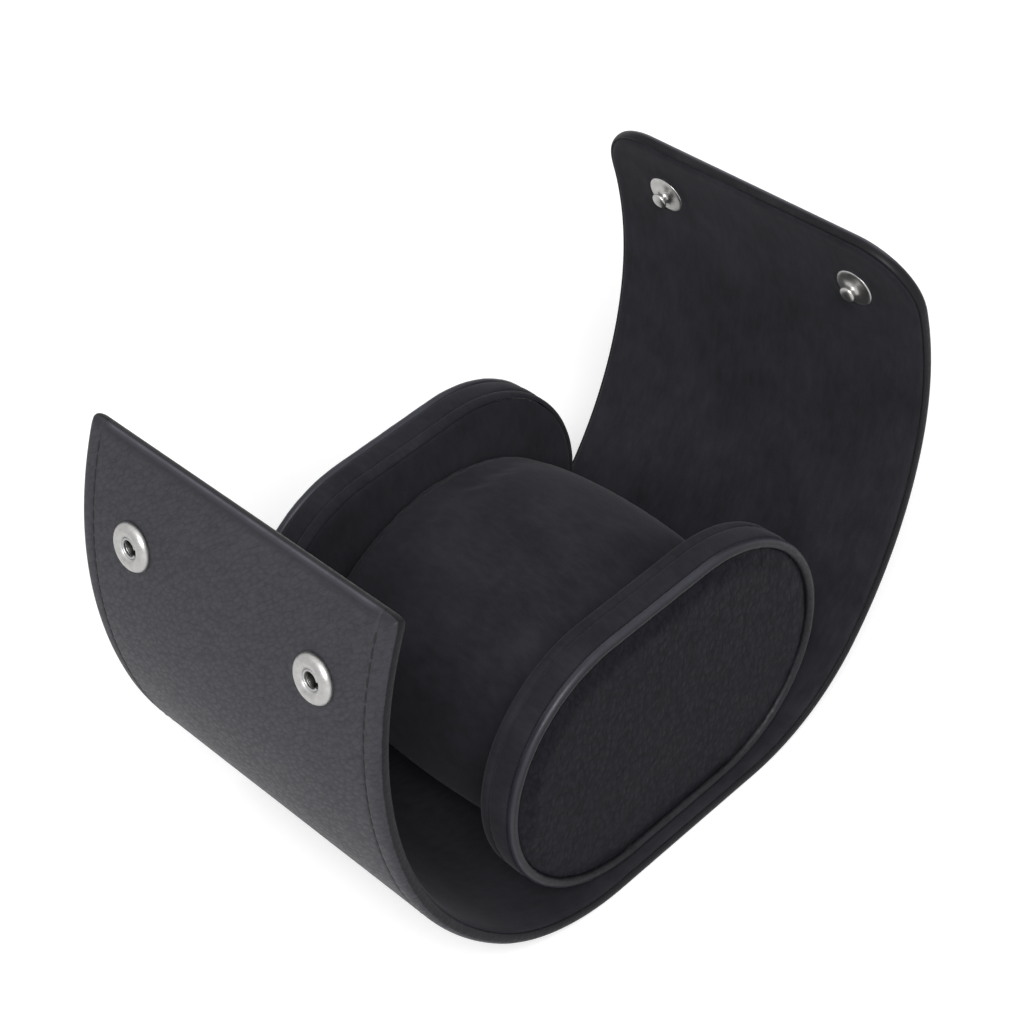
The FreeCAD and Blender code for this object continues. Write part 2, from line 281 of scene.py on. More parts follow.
def warped(tree, place, scale, amount):
    """Coordinates pushed about by noise."""
    colour = node(tree, "TexNoise", Vector=place, Scale=scale, Detail=2.0).outputs["Color"]
    return node(
        tree, "VectorMath", {"operation": "MULTIPLY_ADD"}, i0=colour, i1=(amount,) * 3, i2=place
    ).outputs[0]


def arithmetic(tree, operation, first, second):
    return node(tree, "Math", {"operation": operation}, i0=first, i1=second).outputs[0]


def mixed(tree, shares):
    """Weighted sum of values."""
    total = None
    for value, share in shares:
        part = arithmetic(tree, "MULTIPLY", value, share)
        total = part if total is None else arithmetic(tree, "ADD", total, part)
    return total


def ranged(tree, value, low, high, to_low, to_high, smooth=False):
    kind = {"interpolation_type": "SMOOTHSTEP" if smooth else "LINEAR"}
    return node(
        tree, "MapRange", kind, Value=value, From_Min=low, From_Max=high, To_Min=to_low, To_Max=to_high
    ).outputs[0]


def ramp(tree, value, *stops):
    """Colour ramp from (position, colour) stops."""
    made = node(tree, "ValToRGB", Fac=value)
    elements = made.color_ramp.elements
    while len(elements) < len(stops):
        elements.new(0.5)
    for element, (position, colour) in zip(elements, stops):
        element.position = position
        element.color = (*colour, 1.0)
    return made.outputs["Color"]


def connect(tree, shader, colour, roughness, height, strength, depth, **constants):
    """Wire a shader. depth is the height of the relief in millimetres."""
    tree.links.new(colour, shader.inputs["Base Color"])
    tree.links.new(roughness, shader.inputs["Roughness"])
    bump = node(tree, "Bump", Strength=strength, Distance=depth * MM, Height=height)
    tree.links.new(bump.outputs["Normal"], shader.inputs["Normal"])
    for key, value in constants.items():
        shader.inputs[key.replace("_", " ")].default_value = value


def pebbled_leather(name, size, run, pull, tone, blue, specular, depth):
    """Soft pebbles of a size and wrinkles, drawn out by pull along run, an angle in degrees.

    The surface is calm where the edge mark is high, and lighter there from wear and a painted highlight.
    Where its darkening mark is high it is dark, from edge dye and painted shade.
    tone is its dark and its light grey, and blue the share of blue in them."""
    material, tree, shader, place = start_material(name)
    edge = node(tree, "Attribute", {"attribute_name": "edge"}).outputs["Fac"]
    dye = node(tree, "Attribute", {"attribute_name": "dye"}).outputs["Fac"]
    drawn = node(
        tree, "Mapping", {"vector_type": "TEXTURE"}, Vector=place,
        Rotation=(0.0, 0.0, math.radians(run)), Scale=(pull, 1.0, 1.0),
    ).outputs[0]
    bent = warped(tree, drawn, 0.5, 0.9)
    domes = node(
        tree, "TexVoronoi", {"feature": "SMOOTH_F1"},
        Vector=bent, Scale=1 / size, Smoothness=0.5, Randomness=0.9,
    ).outputs["Distance"]
    cells = node(
        tree, "TexVoronoi", {"feature": "DISTANCE_TO_EDGE"}, Vector=bent, Scale=1 / size, Randomness=0.9
    ).outputs["Distance"]
    pebble = ranged(tree, domes, 0.05, 0.75, 1.0, 0.0, True)
    crease = ranged(tree, cells, 0.0, 0.16, 0.0, 1.0, True)
    pores = noise(tree, place, 6.0, 2.0, 0.5)
    wrinkle = noise(tree, bent, 0.95 / size, 2.0, 0.5)
    long_noise = noise(tree, stretched(tree, bent, (0.6, 1.0, 1.0)), 0.75 / size, 1.0)
    crossing = arithmetic(tree, "SUBTRACT", long_noise, 0.5)
    vein = ranged(tree, arithmetic(tree, "ABSOLUTE", crossing, 0.0), 0.0, 0.1, 0.0, 1.0, True)
    broad = noise(tree, place, 0.09, 3.0)
    relief = mixed(tree, ((pebble, 0.4), (crease, 0.03), (vein, 0.3), (pores, 0.02), (wrinkle, 0.6)))
    calm = ranged(tree, edge, 0.0, 0.7, 1.0, 0.12)
    height = arithmetic(tree, "MULTIPLY", relief, calm)
    lines = mixed(tree, ((crease, 0.16), (vein, 0.15), (wrinkle, 0.3)))
    marks = arithmetic(tree, "MULTIPLY", lines, calm)
    # Lighter rims where the edge mark is high: wear, and a painted highlight on the rounded edge.
    wear_and_highlight = ranged(tree, edge, 0.5, 0.95, 0.0, 1.0, True)
    grain_wear_and_light = mixed(tree, ((marks, 1.0), (broad, 0.3), (wear_and_highlight, 0.8), (dye, -1.0)))
    shade = arithmetic(tree, "ADD", grain_wear_and_light, 0.02)
    dark, light = tone
    # The top stop, twice the light grey, paints a highlight on rims; the bottom stop darkens the edge: dye
    # and painted shade.
    stops = ((0.0, 0.38 * dark), (0.2, dark), (0.8, light), (1.0, 2.0 * light))
    colour = ramp(tree, shade, *((at, (grey, grey, blue * grey)) for at, grey in stops))
    gloss = mixed(tree, ((pebble, -0.1), (broad, 0.14), (edge, -0.16), (pores, 0.06)))
    roughness = arithmetic(tree, "ADD", gloss, 0.47)
    connect(tree, shader, colour, roughness, height, 0.8, depth, Specular_IOR_Level=specular)
    return material


def suede(name, dark, light, nap_run, sheen):
    """Short brushed nap: soft patches where it lies another way, and fine fibres."""
    material, tree, shader, place = start_material(name)
    patches = noise(tree, warped(tree, place, 0.05, 9.0), 0.075, 4.0, 0.55)
    streaks = noise(tree, stretched(tree, place, nap_run), 0.8, 4.0, 0.6)
    fibres = noise(tree, place, 5.5, 4.0, 0.7)
    shade = mixed(tree, ((patches, 0.4), (streaks, 0.3), (fibres, 0.3)))
    middle = tuple((a + b) / 2 for a, b in zip(dark, light))
    colour = ramp(tree, shade, (0.36, dark), (0.52, middle), (0.68, light))
    height = mixed(tree, ((fibres, 0.6), (streaks, 0.4)))
    roughness = ranged(tree, patches, 0.3, 0.7, 0.98, 0.86)
    connect(
        tree, shader, colour, roughness, height, 0.6, 0.09,
        Specular_IOR_Level=0.2, Sheen_Weight=sheen, Sheen_Roughness=0.45, Sheen_Tint=(0.62, 0.62, 0.68, 1.0),
    )
    return material


def satin_metal(name, colours, low_gloss, high_gloss):
    """Plated metal with a faint turned finish and handling marks."""
    material, tree, shader, place = start_material(name)
    haze = noise(tree, place, 0.7, 3.0)
    turning = noise(tree, stretched(tree, place, (0.6, 0.6, 9.0)), 2.2, 3.0)
    marks = noise(tree, stretched(tree, place, (1.0, 7.0, 1.0)), 1.6, 5.0, 0.65)
    # The bore mark darkens the eyelet's bore: grime, and painted shade in the recess.
    bore = node(tree, "Attribute", {"attribute_name": "bore"}).outputs["Fac"]
    shade = mixed(tree, ((haze, 0.6), (marks, 0.4), (bore, -1.0)))
    bore_grime_and_shade = tuple(0.2 * value for value in colours[0])
    colour = ramp(tree, shade, (0.0, bore_grime_and_shade), (0.3, colours[0]), (0.65, colours[1]))
    roughness = ranged(tree, mixed(tree, ((haze, 0.5), (marks, 0.5))), 0.3, 0.7, low_gloss, high_gloss)
    height = mixed(tree, ((turning, 0.6), (marks, 0.4)))
    connect(tree, shader, colour, roughness, height, 0.25, 0.012, Metallic=1.0)
    return material


def twisted_thread(name):
    material, tree, shader, place = start_material(name)
    twist = node(
        tree, "TexWave", {"bands_direction": "DIAGONAL"}, Vector=place, Scale=1.6, Distortion=0.6, Detail=1.0
    ).outputs["Fac"]
    fuzz = noise(tree, place, 7.0, 3.0)
    shade = mixed(tree, ((twist, 0.6), (fuzz, 0.4)))
    colour = ramp(tree, shade, (0.2, (0.004, 0.004, 0.005)), (0.8, (0.02, 0.02, 0.022)))
    roughness = ranged(tree, fuzz, 0.3, 0.7, 0.6, 0.85)
    connect(tree, shader, colour, roughness, shade, 0.5, 0.05, Specular_IOR_Level=0.3)
    return material


def fibre_board(name, on_cad):
    material, tree, shader, place = start_material(name, on_cad)
    flecks = noise(tree, stretched(tree, place, (1.0, 0.3, 1.0)), 1.4, 5.0, 0.65)
    clouds = noise(tree, place, 0.12, 3.0)
    shade = mixed(tree, ((flecks, 0.6), (clouds, 0.4)))
    colour = ramp(tree, shade, (0.35, (0.09, 0.075, 0.06)), (0.65, (0.2, 0.17, 0.14)))
    connect(tree, shader, colour, ranged(tree, clouds, 0.3, 0.7, 0.8, 0.95), flecks, 0.5, 0.08)
    return material


def foam(name):
    material, tree, shader, place = start_material(name)
    cells = node(tree, "TexVoronoi", Vector=place, Scale=1.6).outputs["Distance"]
    clouds = noise(tree, place, 0.2, 3.0)
    shade = mixed(tree, ((cells, 0.6), (clouds, 0.4)))
    colour = ramp(tree, shade, (0.2, (0.16, 0.16, 0.17)), (0.8, (0.42, 0.42, 0.43)))
    connect(tree, shader, colour, ranged(tree, clouds, 0.3, 0.7, 0.85, 1.0), cells, 0.8, 0.3)
    return material


# Tones are linear and near black, as the photographed leather and suede are
wrap_leather = pebbled_leather(
    "wrap_leather", size=1.0, run=-40.0, pull=2.1, tone=(0.0285, 0.052), blue=1.18, specular=0.1, depth=0.1,
)
# The end faces' leather has a far darker tone than the wrap's: painted shade on faces turned from the light.
shaded_panel_leather = pebbled_leather(
    "shaded_panel_leather", size=1.3, run=90.0, pull=1.4, tone=(0.0021, 0.0094), blue=1.5, specular=0.06, depth=0.13,
)
# Its light tone is raised so that the piping's outer flank carries a painted highlight.
piping_leather = pebbled_leather(
    "piping_leather", size=1.5, run=0.0, pull=1.0, tone=(0.0048, 0.0165), blue=1.32, specular=0.24, depth=0.1,
)
lining_suede = suede(
    "lining_suede", dark=(0.0082, 0.008, 0.0105), light=(0.022, 0.0215, 0.028), nap_run=(1.0, 0.3, 1.0),
    sheen=0.06,
)
pillow_suede = suede(
    "pillow_suede", dark=(0.0082, 0.008, 0.0105), light=(0.0215, 0.021, 0.0275), nap_run=(0.4, 1.0, 0.4),
    sheen=0.06,
)
nickel = satin_metal(
    "nickel", ((0.34, 0.335, 0.325), (0.47, 0.465, 0.455)), low_gloss=0.3, high_gloss=0.44
)
spring_steel = satin_metal(
    "spring_steel", ((0.34, 0.34, 0.345), (0.44, 0.44, 0.445)), low_gloss=0.35, high_gloss=0.5
)
thread = twisted_thread("thread")
stiff_board = fibre_board("stiff_board", on_cad=False)
panel_board = fibre_board("panel_board", on_cad=True)
grey_foam = foam("grey_foam")


# Wrap


class Flap:
    """Half of the wrap, measured along mid thickness from the middle of the base.

    side is its sign along y. snap_hole is the radius cleared round a snap, and snap_rolls
    are the radii at which the leather and the lining rise round it."""

    def __init__(self, name, side, panels, corner, square, snap_inset, snap_hole, snap_rolls):
        self.name = name
        self.side = side
        self.corner = corner
        self.square = square        # 0 for a round corner, 1 for a square one
        self.snap_hole = snap_hole
        self.snap_rolls = snap_rolls
        self.bodies = ["base"]
        self.joints = []
        self.arcs = []
        start, heading = BASE_HALF, 0.0
        y, z = side * BASE_HALF, THICKNESS / 2
        for panel, length, radius in panels:
            centre = (y - side * math.sin(heading) * radius, z + math.cos(heading) * radius)
            self.arcs.append((start, heading, radius, centre))
            self.bodies.append(name + "_" + panel)
            self.joints.append(start)
            start += length
            heading += length / radius
            y = centre[0] + side * math.sin(heading) * radius
            z = centre[1] - math.cos(heading) * radius
        self.length = start
        self.snap = start - snap_inset

    def inward(self, s):
        """Unit normals to the inside, as (y, z) rows."""
        turn = np.zeros_like(s)
        for start, heading, radius, _ in self.arcs:
            on = s >= start
            turn[on] = heading + (s[on] - start) / radius
        return np.stack([-self.side * np.sin(turn), np.cos(turn)], axis=-1)

    def place(self, x, s, level):
        """Points at x, a distance along the flap and a level over its outer face."""
        x, s, level = np.broadcast_arrays(*[np.atleast_1d(np.asarray(v, float)) for v in (x, s, level)])
        normal = self.inward(s)
        mid = np.stack([self.side * s, np.full(s.shape, THICKNESS / 2)], axis=-1)
        for start, _, radius, centre in self.arcs:
            on = s >= start
            mid[on] = np.array(centre) - normal[on] * radius
        mid = mid + normal * (level - THICKNESS / 2)[..., None]
        return np.concatenate([x[..., None], mid], axis=-1)

    def along(self, s):
        return Vector(self.place(0.0, s, THICKNESS / 2)[0] * MM)

    def snap_frames(self, level, outward):
        """Origin and axes of both snaps, with the last axis off the chosen face."""
        normal = self.inward(np.array([self.snap]))[0] * (-1 if outward else 1)
        axis = np.array([0.0, *normal])
        first = np.array([1.0, 0.0, 0.0])
        second = np.cross(axis, first)
        return [(self.place(x, self.snap, level)[0], first, second, axis) for x in (-SNAP_X, SNAP_X)]


front = Flap(
    "front", -1, FRONT_PANELS, FRONT_CORNER, square=0.6, snap_inset=FRONT_SNAP_INSET, snap_hole=3.7,
    snap_rolls=(5.7, 4.95),
)
back = Flap(
    "back", 1, BACK_PANELS, BACK_CORNER, square=0.0, snap_inset=BACK_SNAP_INSET, snap_hole=2.6,
    snap_rolls=(5.7, 5.15),
)

# Edge sections as (distance from the wrap's edge, level), from the outer to the inner face
LEATHER_EDGE = (
    (2.5, 0.0), (2.0, 0.03), (1.5, 0.1), (1.05, 0.22), (0.7, 0.38), (0.42, 0.6), (0.2, 0.88), (0.07, 1.2),
    (0.0, 1.55), (0.0, 1.9), (0.03, 2.2), (0.1, 2.46), (0.22, 2.66), (0.36, 2.77), (0.5, 2.78), (0.61, 2.7),
    (0.68, 2.56), (0.71, 2.3), (0.74, 1.8), (0.85, 1.4), (1.1, 1.22), (1.6, 1.2), (2.5, 1.2),
)
STIFFENER_EDGE = (
    (2.5, 1.26), (1.5, 1.26), (1.2, 1.34), (1.1, 1.6), (1.1, 2.1), (1.2, 2.36), (1.5, 2.44), (2.5, 2.44),
)
LINING_EDGE = (
    (2.5, 2.5), (1.5, 2.5), (0.98, 2.5), (0.8, 2.54), (0.75, 2.66), (0.77, 2.8), (0.85, 2.93), (1.02, 3.06),
    (1.28, 3.19), (1.6, 3.3), (2.0, 3.37), (2.5, 3.4),
)
WIDE_RINGS = (
    15.0, 13.9, 12.8, 11.7, 10.6, 9.5, 8.4, 7.3, 6.3, 5.5, 4.9, 4.55, 4.3, 4.15, 4.0, 3.85, 3.7, 3.4, 3.0,
)
WRAP_LAYERS = (
    ("leather", "pebbled_leather", wrap_leather, LEATHER_EDGE),
    ("stiffener", "fibre_board", stiff_board, STIFFENER_EDGE),
    ("lining", "suede", lining_suede, LINING_EDGE),
)


def graded(low, high, centres, near, fine):
    """Grid lines with a plain step, and a finer one round each centre."""
    lines = list(np.linspace(low, high, max(2, int(round((high - low) / GRID_STEP)) + 1)))
    for centre in centres:
        lines = [line for line in lines if abs(line - centre) > near + 0.4 * fine or line in (low, high)]
        finer = np.arange(centre - near, centre + near + fine / 2, fine)
        lines += [line for line in finer if low < line < high]
    return np.array(sorted(set(np.round(lines, 4))))


def strip_solid(flap, begin, end, edge):
    """A layer's solid over a stretch of the flap, open at cut ends.

    Returns rows of x, distance along, distance from the edge, level and a mark for the outer
    face, and the faces. A free end has the flap's corners and its snap holes."""
    free = end >= flap.length
    reach = flap.corner if free else EDGE_ZONE
    outer = [(d, edge[0][1]) for d in WIDE_RINGS if EDGE_ZONE < d <= reach]
    inner = [(d, edge[-1][1]) for d, _ in reversed(outer)]
    path = outer + list(edge) + inner
    inside_x = HALF_WIDTH - reach
    inside_end = end - reach if free else end
    lines_x = graded(-inside_x, inside_x, (-SNAP_X, SNAP_X) if free else (), SNAP_ZONE, SNAP_STEP)
    stitch_x = HALF_WIDTH - STITCH_INSET
    if inside_x > stitch_x:
        near_stitch = [stitch_x + step for step in (-0.8, -0.5, -0.3, -0.15, 0.0, 0.15, 0.3, 0.5, 0.8)]
        plain = [x for x in lines_x if abs(abs(x) - stitch_x) > 1.0 or abs(x) == inside_x]
        lines_x = np.array(sorted(plain + near_stitch + [-x for x in near_stitch]))
    lines_s = graded(begin, inside_end, (flap.snap,) if free else (), SNAP_ZONE, SNAP_STEP)
    nx, ns = len(lines_x), len(lines_s)

    left = [(0, j, -1.0, 0.0) for j in range(ns)]
    right = [(nx - 1, j, 1.0, 0.0) for j in range(ns)]
    chains = [left, right]
    if free:
        turns = np.linspace(0, math.pi / 2, 14 if flap.square else 28)[1:-1]
        round_out = [(math.cos(turn), math.sin(turn)) for turn in turns]
        squaring = [max(out) ** flap.square for out in round_out]
        corner = [(out_x / by, out_s / by) for (out_x, out_s), by in zip(round_out, squaring)]
        left_corner = [(0, ns - 1, -out_x, out_s) for out_x, out_s in corner]
        top = [(i, ns - 1, 0.0, 1.0) for i in range(nx)]
        right_corner = [(nx - 1, ns - 1, out_x, out_s) for out_x, out_s in corner[::-1]]
        chains = [left + left_corner + top + right_corner + right[::-1]]

    x_grid, s_grid = np.meshgrid(lines_x, lines_s, indexing="ij")
    size = nx * ns
    table = []
    for level, outside in ((path[0][1], 1.0), (path[-1][1], 0.0)):
        columns = [x_grid.ravel(), s_grid.ravel()] + [np.full(size, v) for v in (reach, level, outside)]
        table.append(np.stack(columns, axis=-1))
    turn_over = min(range(len(path)), key=lambda k: path[k][0])
    count = 2 * size
    twin = {v: v + size for v in range(size)}
    plan_faces, edge_faces = bridge(row_numbers(x_grid), closed_ring=False), []
    for chain in chains:
        rings = [[i * ns + j for i, j, _, _ in chain]]
        for k, (d, level) in enumerate(path[1:-1], 1):
            rings.append(list(range(count, count + len(chain))))
            count += len(chain)
            out = reach - d
            table.append(np.array([
                (lines_x[i] + out_x * out, lines_s[j] + out_s * out, d, level, float(k < turn_over))
                for i, j, out_x, out_s in chain
            ]))
        rings.append([v + size for v in rings[0]])
        for k in range(1, len(outer) + 1):
            twin.update(zip(rings[k], rings[-1 - k]))
        plan_faces += bridge(rings[: len(outer) + 1], closed_ring=False)
        edge_faces += bridge(rings[len(outer): len(rings) - len(outer)], closed_ring=False)

    table = np.concatenate(table)
    off_snap = np.hypot(np.abs(table[:, 0]) - SNAP_X, table[:, 1] - flap.snap)
    cleared, kept = [], []
    for face in plan_faces:
        in_hole = free and off_snap[face].max() < flap.snap_hole
        (cleared if in_hole else kept).append(face)
    uses = {}
    for face in cleared:
        for side in zip(face, face[1:] + face[:1]):
            side = tuple(sorted(side))
            uses[side] = uses.get(side, 0) + 1
    walls = [[a, b, twin[b], twin[a]] for a, b in sorted(uses) if uses[a, b] == 1]
    faces = kept + [[twin[v] for v in reversed(face)] for face in kept] + edge_faces + walls
    return table, faces


def ripple(x, s):
    """Small unevenness that a hand-laid skin keeps, between -1 and 1."""
    waves = np.sin(0.11 * x + 0.07 * s + 0.6) + np.sin(0.05 * x - 0.13 * s + 2.1)
    return (waves + np.sin(0.19 * x + 0.03 * s)) / 3


def snap_roll(flap, x, s, radius):
    """How strongly a point lies in the roll pushed up round a snap."""
    off = np.hypot(np.abs(x) - SNAP_X, s - flap.snap)
    return np.exp(-(((off - radius) / LIFT_WIDTH) ** 2))


def stitch_places(flap, begin, end):
    """Stitches as (x, s, run along x, run along s): down both sides, and round the back flap's end."""
    inset = HALF_WIDTH - STITCH_INSET
    rounded = flap is back
    straight_end = flap.length - (flap.corner if rounded else STITCH_END)
    steps = np.arange(0.5 * STITCH_PITCH, straight_end - 0.5 * STITCH_PITCH, STITCH_PITCH)
    places = [(sign * inset, s, 0.0, 1.0) for sign in (-1, 1) for s in steps if begin <= s < end]
    if rounded and end >= flap.length:
        radius = flap.corner - STITCH_INSET
        centre_x, centre_s = HALF_WIDTH - flap.corner, flap.length - flap.corner
        count = int(round(radius * math.pi / 2 / STITCH_PITCH))
        for sign in (-1, 1):
            for turn in (np.arange(count) + 0.5) * math.pi / 2 / count:
                x = sign * (centre_x + radius * math.cos(turn))
                s = centre_s + radius * math.sin(turn)
                places.append((x, s, -sign * math.sin(turn), math.cos(turn)))
        count = int(round(2 * centre_x / STITCH_PITCH))
        for x in (np.arange(count) + 0.5) * 2 * centre_x / count - centre_x:
            places.append((x, flap.length - STITCH_INSET, 1.0, 0.0))
    return places


def stitches(flap, begin, end):
    """Thread lengths: plump in the middle, dipping into a hole at each end."""
    half = 0.5 * STITCH_PITCH - 0.1
    offsets = np.linspace(-1, 1, 9)
    plump = 0.3 * np.sqrt(np.clip(1 - offsets ** 4, 0.02, 1))
    depth = 0.32 - 0.17 * (1 - offsets ** 2)
    ring = np.linspace(0, 2 * math.pi, 8, endpoint=False)
    shells = []
    for x, s, run_x, run_s in stitch_places(flap, begin, end):
        rows = []
        for offset, radius, sink in zip(offsets, plump, depth):
            aside = np.cos(ring) * radius * 0.85
            row_x = x + run_x * offset * half - run_s * aside
            row_s = s + run_s * offset * half + run_x * aside
            rows.append(flap.place(row_x, row_s, sink + np.sin(ring) * radius * 0.7))
        numbers = row_numbers(rows)
        shells.append((np.concatenate(rows), bridge(numbers) + [numbers[0][::-1], numbers[-1]]))
    return join_shells(shells)


def wrap_strip(flap, index):
    """Leather, stiffener and lining of one strip, which reaches across one joint."""
    ends = flap.joints + [flap.length]
    cuts = [0.0] + [(low + high) / 2 for low, high in zip(ends, ends[1:-1])] + [flap.length]
    begin, end = cuts[index], cuts[index + 1]
    parent, child = flap.bodies[index], flap.bodies[index + 1]
    joint, reach = flap.joints[index], BEND_REACH[index]
    for layer, slot, material, edge in WRAP_LAYERS:
        table, faces = strip_solid(flap, begin, end, edge)
        x, s, distance, level, outside = table.T
        flat = np.clip((distance - 1.6) / 2.0, 0, 1)
        materials, shades, marks = [material], None, {}
        if layer == "leather":
            line = distance if flap is back and end >= flap.length else HALF_WIDTH - np.abs(x)
            groove = STITCH_GROOVE * np.exp(-(((line - STITCH_INSET) / GROOVE_WIDTH) ** 2))
            lift = LEATHER_LIFT * snap_roll(flap, x, s, flap.snap_rolls[0])
            level = level + outside * (groove - lift + LEATHER_RIPPLE * ripple(x, s) * flat)
        elif layer == "lining":
            sag = LINING_SAG * (1 + ripple(1.7 * x + 9, 1.4 * s)) * flat
            lift = LINING_LIFT * snap_roll(flap, x, s, flap.snap_rolls[1])
            level = level + (1 - outside) * (lift - sag)
        points = flap.place(x, s, level)
        grain = np.stack([x, flap.side * s, level], axis=-1)
        if layer == "leather":
            to_end = HALF_WIDTH - np.abs(x) - flap.length + s
            # Free ends get the full lighter rim and the long sides a fifth of it: wear, and a painted
            # highlight on the ends.
            at_free_end = np.clip(0.5 + to_end / END_RIM_FADE, 0, 1)
            wear_and_highlight = np.clip(1 - distance / EDGE_ZONE, 0, 1) * (SIDE_RIM_SHARE + (1 - SIDE_RIM_SHARE) * at_free_end)
            # The cut edge beyond its nose is darkened: edge dye, and painted shade on the side turned from
            # the light.
            dyed = np.clip((level - DARKENED_FROM) / DARKEN_FADE, 0, 1) * (distance < 1)
            sewn = stitches(flap, begin, end)
            unmarked = np.zeros(len(sewn[0]))
            marks = {"edge": np.concatenate([wear_and_highlight, unmarked]), "dye": np.concatenate([dyed, unmarked])}
            shades = [0] * len(faces) + [1] * len(sewn[1])
            points, faces = join_shells([(points, faces), sewn])
            grain = np.concatenate([grain, sewn[0]])
            materials.append(thread)
        name = flap.name + ("_base_", "_bend_", "_top_")[index] + layer
        made = piece(name, points, faces, materials, slot, grain, shades, **marks)
        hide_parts(parent + "_" + layer, child + "_" + layer)
        flap.along(joint - reach)
        flap.along(joint + reach)
        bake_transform(made)


for each_flap in (front, back):
    for strip in range(3):
        wrap_strip(each_flap, strip)


# Snaps


def turned(profile, frames, segments=64):
    """Shells turned from a (radius, height) profile, closed in itself or on the axis."""
    angles = np.linspace(0, 2 * math.pi, segments, endpoint=False)
    on_axis = profile[0][0] == 0
    shells, grains = [], []
    for origin, first, second, axis in frames:
        rows, local = [], []
        for radius, height in profile:
            across = np.outer(np.cos(angles) * radius, first) + np.outer(np.sin(angles) * radius, second)
            rows.append(origin + across + height * axis)
            level = np.full(segments, height)
            local.append(np.stack([np.cos(angles) * radius, np.sin(angles) * radius, level], -1))
        shells.append((np.concatenate(rows), bridge(row_numbers(rows), True, not on_axis)))
        grains.append(np.concatenate(local))
    points, faces = join_shells(shells)
    return points, faces, np.concatenate(grains)


# Turned sections as (radius, height over the face that the snap sits on)
SOCKET_PROFILE = [
    (4.82, 0.0), (4.95, 0.06), (5.0, 0.2), (5.0, 0.42), (4.96, 0.68), (4.85, 0.95), (4.66, 1.22),
    (4.38, 1.47), (4.05, 1.65), (3.7, 1.76), (3.4, 1.79), (3.1, 1.76), (2.82, 1.68), (2.58, 1.56),
    (2.38, 1.42), (2.24, 1.28), (2.17, 1.2), (2.18, 1.14), (2.4, 1.12), (2.56, 1.1), (2.6, 1.0),
    (2.6, 0.5), (2.55, 0.42), (2.14, 0.4), (2.1, 0.34), (2.1, 0.05), (2.16, 0.0), (3.5, 0.0),
]
EYELET_PROFILE = [
    (2.14, 0.0), (2.48, -0.02), (2.53, -0.1), (2.53, -2.9), (2.62, -3.15), (2.85, -3.24), (3.9, -3.25),
    (4.1, -3.29), (4.2, -3.42), (4.17, -3.58), (4.02, -3.7), (3.7, -3.75), (2.9, -3.75), (2.5, -3.68),
    (2.25, -3.5), (2.12, -3.2), (2.1, -0.05),
]
STUD_PROFILE = [
    (0.0, 0.0), (4.1, 0.0), (4.3, 0.04), (4.4, 0.14), (4.4, 0.26), (4.33, 0.38), (4.15, 0.48), (3.8, 0.55),
    (3.3, 0.59), (2.8, 0.62), (2.4, 0.68), (2.0, 0.8), (1.7, 0.95), (1.48, 1.14), (1.34, 1.35), (1.28, 1.58),
    (1.3, 1.78), (1.42, 1.95), (1.58, 2.09), (1.71, 2.21), (1.78, 2.32), (1.8, 2.42), (1.78, 2.54),
    (1.7, 2.68), (1.55, 2.82), (1.32, 2.95), (1.05, 3.06), (0.72, 3.14), (0.36, 3.185), (0.0, 3.2),
]
CAP_PROFILE = [
    (0.0, -3.23), (1.2, -3.23), (1.28, -3.15), (1.28, -0.1), (1.4, 0.0), (4.75, 0.0), (4.93, 0.05),
    (5.0, 0.17), (4.98, 0.3), (4.87, 0.41), (4.6, 0.53), (4.1, 0.73), (3.4, 0.95), (2.6, 1.12), (1.7, 1.24),
    (0.8, 1.29), (0.0, 1.3),
]


def spring_ring(frames):
    """Split wire ring in each socket."""
    sweep = np.radians(np.linspace(20, 340, 49))
    wire = np.linspace(0, 2 * math.pi, 12, endpoint=False)
    shells, grains = [], []
    for origin, first, second, axis in frames:
        rows = []
        for turn in sweep:
            out = first * math.cos(turn) + second * math.sin(turn)
            across = np.outer(SPRING_RADIUS + SPRING_WIRE * np.cos(wire), out)
            along = np.outer(SPRING_LEVEL + SPRING_WIRE * np.sin(wire), axis)
            rows.append(origin + across + along)
        numbers = row_numbers(rows)
        shells.append((np.concatenate(rows), bridge(numbers) + [numbers[0][::-1], numbers[-1]]))
        grains.append(np.concatenate(rows) - origin)
    points, faces = join_shells(shells)
    return points, faces, np.concatenate(grains)


sockets = front.snap_frames(0.0, True)
studs = back.snap_frames(SEAT_LEVEL, False)
caps = back.snap_frames(0.0, True)
snap_pieces = (
    ("snap_sockets", turned(SOCKET_PROFILE, sockets), nickel, "nickel", "socket_rings", "front_top"),
    ("snap_eyelets", turned(EYELET_PROFILE, sockets), nickel, "nickel", "socket_eyelets", "front_top"),
    ("snap_springs", spring_ring(sockets), spring_steel, "spring_steel", "socket_springs", "front_top"),
    ("snap_studs", turned(STUD_PROFILE, studs), nickel, "nickel", "stud_posts", "back_top"),
    ("snap_caps", turned(CAP_PROFILE, caps), nickel, "nickel", "stud_caps", "back_top"),
)
for snap_name, (snap_points, snap_faces, snap_grain), metal, metal_slot, cad_node, body in snap_pieces:
    from_axis = np.hypot(snap_grain[:, 0], snap_grain[:, 1])
    # Eyelet points inside the bore get the bore mark: grime and painted shade.
    in_bore = np.clip((EYELET_BORE - from_axis) / BORE_FADE, 0, 1) * (snap_name == "snap_eyelets")
    snap = piece(snap_name, snap_points, snap_faces, [metal], metal_slot, snap_grain, bore=in_bore)
    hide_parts(cad_node)
    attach(snap, body)


# End panels

